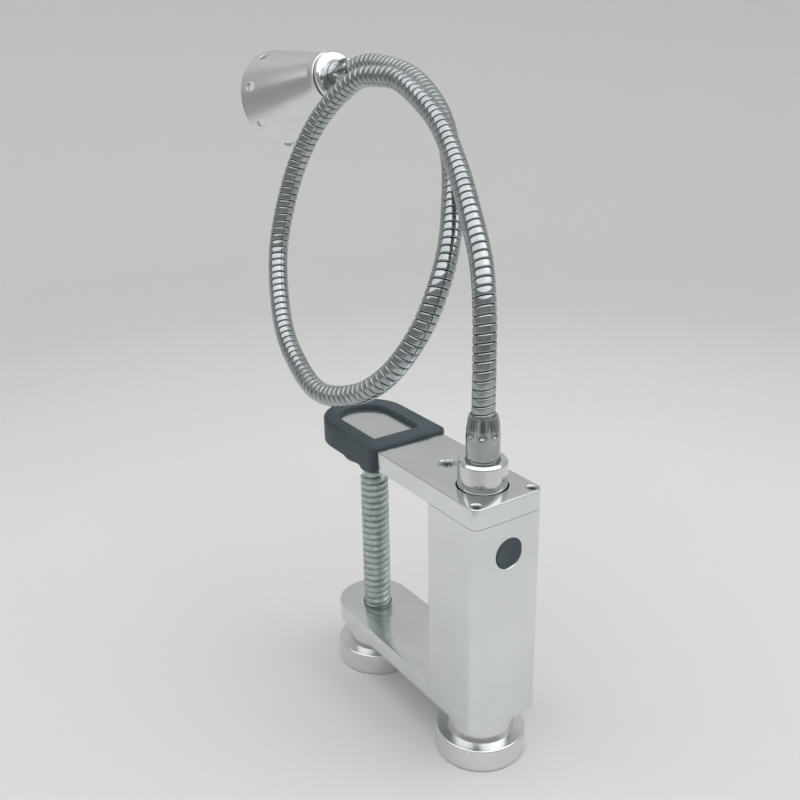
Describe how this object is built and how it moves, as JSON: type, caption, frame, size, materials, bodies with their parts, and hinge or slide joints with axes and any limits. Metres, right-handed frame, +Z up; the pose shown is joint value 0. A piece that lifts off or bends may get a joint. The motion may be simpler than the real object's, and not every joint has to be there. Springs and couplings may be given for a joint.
{
  "type": "clamp-on gooseneck lamp",
  "caption": "Battery lamp with a conical head on a looped metal gooseneck, carried by a C-shaped screw clamp whose box column holds the cell, push button and screw cap.",
  "frame": {"origin": "on the axis of the battery in the column, at the underside of the screw cap that the lamp stands on", "axes": "+Z up along the column, -X along the jaws towards the clamp screw, +Y completes the right-handed frame"},
  "size_m": [0.2442, 0.0908, 0.2603],
  "materials": {
    "satin_aluminium": "satin",
    "turned_aluminium": "turned satin",
    "polished_metal": "polished",
    "gooseneck_chrome": "bright plated",
    "zinc_steel": "dull zinc plated",
    "dark_fastener": "plain steel",
    "black_rubber": "matt",
    "switch_plastic": "moulded",
    "circuit_board": "solder mask",
    "contact_brass": "plain",
    "cell_wrap": "shrink sleeve",
    "lead_sleeve": "sleeved",
    "led_white": "white solder mask",
    "led_phosphor": "clear dome over yellow",
    "reflector_mirror": "bright",
    "lens_clear": "clear"
  },
  "bodies": {
    "frame": {"column_housing": "satin_aluminium", "top_plate": "satin_aluminium", "bottom_plate": "satin_aluminium", "top_plate_screws": "dark_fastener", "bottom_plate_screws": "dark_fastener", "jaw_screw": "dark_fastener", "jaw_pad": "black_rubber", "switch_body": "switch_plastic", "switch_board": "circuit_board", "driver_board": "circuit_board", "positive_contact": "contact_brass", "battery_cell": "cell_wrap"},
    "clamp_foot": {"clamp_foot": "black_rubber"},
    "clamp_screw": {"clamp_screw": "zinc_steel", "clamp_knob": "satin_aluminium", "knob_bolt": "dark_fastener", "foot_screw": "dark_fastener"},
    "cap_contact": {"cap_contact": "contact_brass", "cap_spring": "zinc_steel"},
    "battery_cap": {"battery_cap": "satin_aluminium", "cap_seal": "black_rubber"},
    "push_button": {"push_button": "black_rubber"},
    "neck_base": {"neck_collar": "polished_metal", "lower_ferrule": "polished_metal", "base_lead": "lead_sleeve", "gooseneck_1": "gooseneck_chrome", "lead_1": "lead_sleeve"},
    "neck_lower": {"gooseneck_2": "gooseneck_chrome", "lead_2": "lead_sleeve"},
    "neck_loop": {"gooseneck_3": "gooseneck_chrome", "lead_3": "lead_sleeve", "gooseneck_4": "gooseneck_chrome", "lead_4": "lead_sleeve"},
    "neck_upper": {"gooseneck_5": "gooseneck_chrome", "lead_5": "lead_sleeve"},
    "lamp_head": {"upper_ferrule": "polished_metal", "head_ring": "polished_metal", "lamp_cone": "turned_aluminium", "led_board": "led_white", "led_emitter": "led_phosphor", "reflector": "reflector_mirror", "lens": "lens_clear", "lens_ring": "polished_metal", "head_lead": "lead_sleeve"}
  },
  "joints": [
    {"name": "clamp_feed", "type": "slide", "parent": "frame", "child": "clamp_foot", "axis": [0, 0, 1], "range_m": [-0.066, 0]},
    {"name": "clamp_turn", "type": "hinge", "parent": "clamp_foot", "child": "clamp_screw", "pos_m": [-0.0755, 0, 0.05], "axis": [0, 0, 1], "range_deg": [-7920, 0]},
    {"name": "cap_feed", "type": "slide", "parent": "frame", "child": "cap_contact", "axis": [0, 0, 1], "range_m": [-0.0075, 0]},
    {"name": "cap_turn", "type": "hinge", "parent": "cap_contact", "child": "battery_cap", "pos_m": [0, 0, 0.01], "axis": [0, 0, 1], "range_deg": [-1800, 0]},
    {"name": "button_press", "type": "slide", "parent": "frame", "child": "push_button", "axis": [-1, 0, 0], "range_m": [0, 0.0012], "stiffness_N_per_m": 1200},
    {"name": "neck_swivel", "type": "hinge", "parent": "frame", "child": "neck_base", "pos_m": [-0.0009, 0, 0.112], "axis": [0, 0, 1], "range_deg": [-165, 165]},
    {"name": "neck_base_bend", "type": "hinge", "parent": "neck_base", "child": "neck_lower", "pos_m": [-0.0014, 0.0004, 0.1631], "axis": [0, 1, 0], "range_deg": [-2, 25], "deforming": ["gooseneck_1", "lead_1"]},
    {"name": "neck_side_bend", "type": "hinge", "parent": "neck_lower", "child": "neck_loop", "pos_m": [-0.0147, 0.0088, 0.1959], "axis": [0.7948, 0, 0.6069], "range_deg": [-12, 8], "deforming": ["gooseneck_2", "lead_2"]},
    {"name": "head_pitch", "type": "hinge", "parent": "neck_loop", "child": "neck_upper", "pos_m": [-0.1163, 0.0489, 0.2517], "axis": [0.114, 0.9935, 0], "range_deg": [-25, 25], "deforming": ["gooseneck_4", "lead_4"]},
    {"name": "head_yaw", "type": "hinge", "parent": "neck_upper", "child": "lamp_head", "pos_m": [-0.1466, 0.0497, 0.2553], "axis": [0, 0, 1], "range_deg": [-25, 25], "deforming": ["gooseneck_5", "lead_5"]}
  ],
  "couplings": [
    {"joint": "clamp_turn", "follows": "clamp_feed", "rad_per_m": 2094.4},
    {"joint": "cap_turn", "follows": "cap_feed", "rad_per_m": 4188.8}
  ]
}
